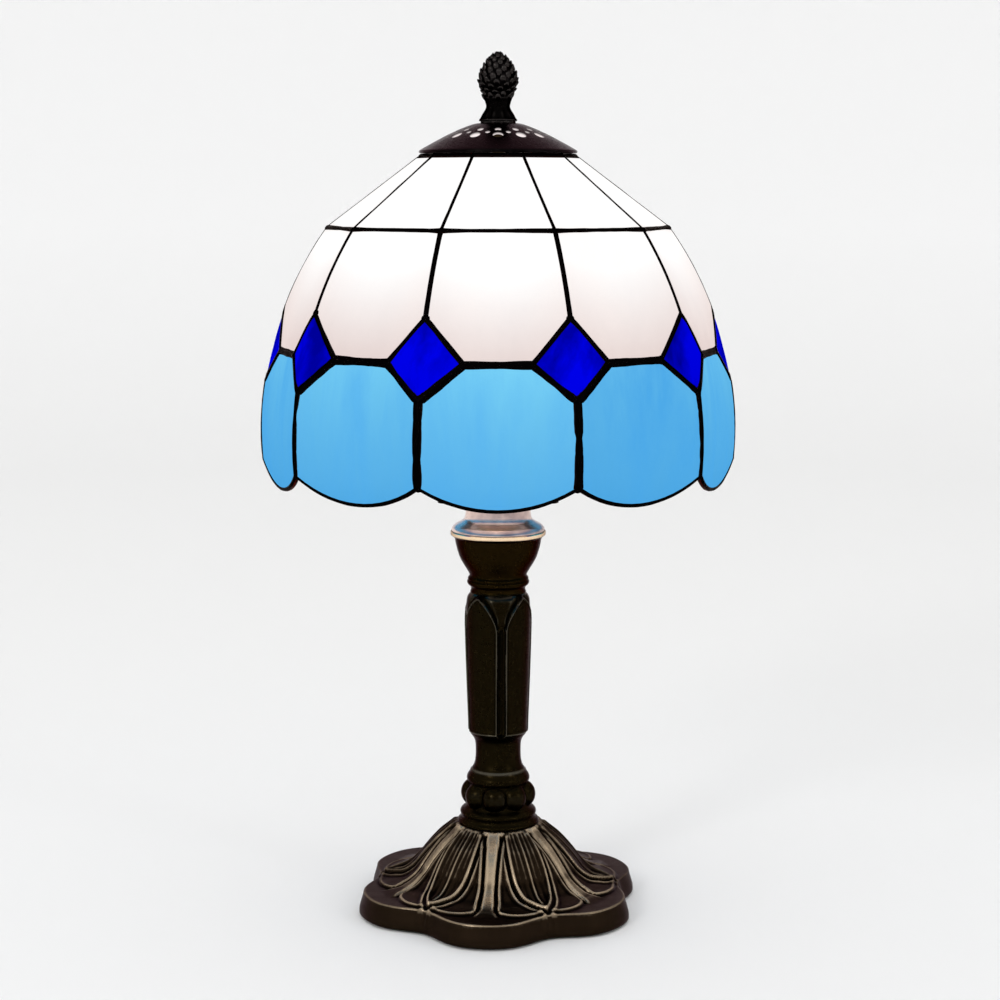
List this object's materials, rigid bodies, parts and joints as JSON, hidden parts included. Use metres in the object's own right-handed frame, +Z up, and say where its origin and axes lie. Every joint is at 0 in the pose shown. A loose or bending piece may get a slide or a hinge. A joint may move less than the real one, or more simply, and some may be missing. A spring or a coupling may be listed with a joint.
{
  "type": "stained-glass table lamp",
  "caption": "Table lamp with a ten-sided leaded-glass dome shade in white, sky blue and cobalt, on a cast bronze column with a lobed foot, a vented cap and a finial.",
  "frame": {"origin": "centre of the underside of the felt pad, on the lamp's axis", "axes": "+Z up along the column; -Y is the front, which faces the viewer; +X to the right"},
  "size_m": [0.2032, 0.1932, 0.3685],
  "materials": {
    "antique_bronze": "antique bronze over cast zinc alloy, rubbed through on raised edges",
    "cast_iron": "rough",
    "felt": "felt",
    "black_plastic": "moulded",
    "zinc_steel": "zinc plated",
    "brass": "aged brass",
    "cover_metal": "brushed, warm grey",
    "socket_metal": "bronzed brass",
    "card_liner": "pressed card",
    "insulator": "phenolic",
    "bulb_glass": "frosted, lit",
    "bulb_metal": "rolled",
    "dark_solder": "solder with a black patina",
    "black_metal": "satin black",
    "white_glass": "opalescent, lit from inside",
    "sky_glass": "streaky opalescent, lit from inside",
    "cobalt_glass": "cathedral glass, lit from inside"
  },
  "bodies": {
    "root": {"foot_casting": "antique_bronze", "ballast_plate": "cast_iron", "felt_pad": "felt", "cord_grommet": "black_plastic", "bottom_washer": "zinc_steel", "bottom_nut": "brass", "lamp_pipe": "brass", "knuckle": "antique_bronze", "column_shaft": "antique_bronze", "column_cup": "antique_bronze", "cup_cover": "cover_metal", "harp_saddle": "brass", "harp_frame": "brass", "harp_ferrules": "brass", "harp_stud": "brass", "socket_cap": "socket_metal", "socket_shell": "socket_metal", "socket_liner": "card_liner", "socket_base": "insulator", "screw_shell": "brass", "centre_contact": "brass"},
    "bulb_lead": {"bulb_tip": "insulator"},
    "bulb": {"bulb_glass": "bulb_glass", "bulb_cap": "bulb_metal"},
    "shade_carrier": {"support_wheel": "brass"},
    "shade": {"came_lattice": "dark_solder", "diamond_glass": "cobalt_glass", "upper_glass_01": "white_glass", "upper_glass_02": "white_glass", "upper_glass_03": "white_glass", "upper_glass_04": "white_glass", "upper_glass_05": "white_glass", "upper_glass_06": "white_glass", "upper_glass_07": "white_glass", "upper_glass_08": "white_glass", "upper_glass_09": "white_glass", "upper_glass_10": "white_glass", "middle_glass_01": "white_glass", "middle_glass_02": "white_glass", "middle_glass_03": "white_glass", "middle_glass_04": "white_glass", "middle_glass_05": "white_glass", "middle_glass_06": "white_glass", "middle_glass_07": "white_glass", "middle_glass_08": "white_glass", "middle_glass_09": "white_glass", "middle_glass_10": "white_glass", "lower_glass_01": "sky_glass", "lower_glass_02": "sky_glass", "lower_glass_03": "sky_glass", "lower_glass_04": "sky_glass", "lower_glass_05": "sky_glass", "lower_glass_06": "sky_glass", "lower_glass_07": "sky_glass", "lower_glass_08": "sky_glass", "lower_glass_09": "sky_glass", "lower_glass_10": "sky_glass"},
    "cap": {"vent_cap": "black_metal"},
    "finial_lead": {"finial_washer": "black_metal"},
    "finial": {"finial": "black_metal"}
  },
  "joints": [
    {"name": "shade_lift", "type": "slide", "parent": "root", "child": "shade_carrier", "axis": [0, 0, 1], "range_m": [0, 0.165]},
    {"name": "shade_turn", "type": "hinge", "parent": "shade_carrier", "child": "shade", "pos_m": [0, 0, 0.32], "axis": [0, 0, 1], "continuous": true},
    {"name": "cap_lift", "type": "slide", "parent": "shade_carrier", "child": "cap", "axis": [0, 0, 1], "range_m": [0, 0.03]},
    {"name": "finial_rise", "type": "slide", "parent": "cap", "child": "finial_lead", "axis": [0, 0, 1], "range_m": [0, 0.00753]},
    {"name": "finial_turn", "type": "hinge", "parent": "finial_lead", "child": "finial", "pos_m": [0, 0, 0.34], "axis": [0, 0, 1], "range_deg": [0, 2880]},
    {"name": "bulb_rise", "type": "slide", "parent": "root", "child": "bulb_lead", "axis": [0, 0, 1], "range_m": [0, 0.01449]},
    {"name": "bulb_turn", "type": "hinge", "parent": "bulb_lead", "child": "bulb", "pos_m": [0, 0, 0.25], "axis": [0, 0, 1], "range_deg": [0, 1440]}
  ],
  "couplings": [
    {"joint": "finial_rise", "follows": "finial_turn", "m_per_rad": 0.00014961},
    {"joint": "bulb_rise", "follows": "bulb_turn", "m_per_rad": 0.00057614}
  ]
}
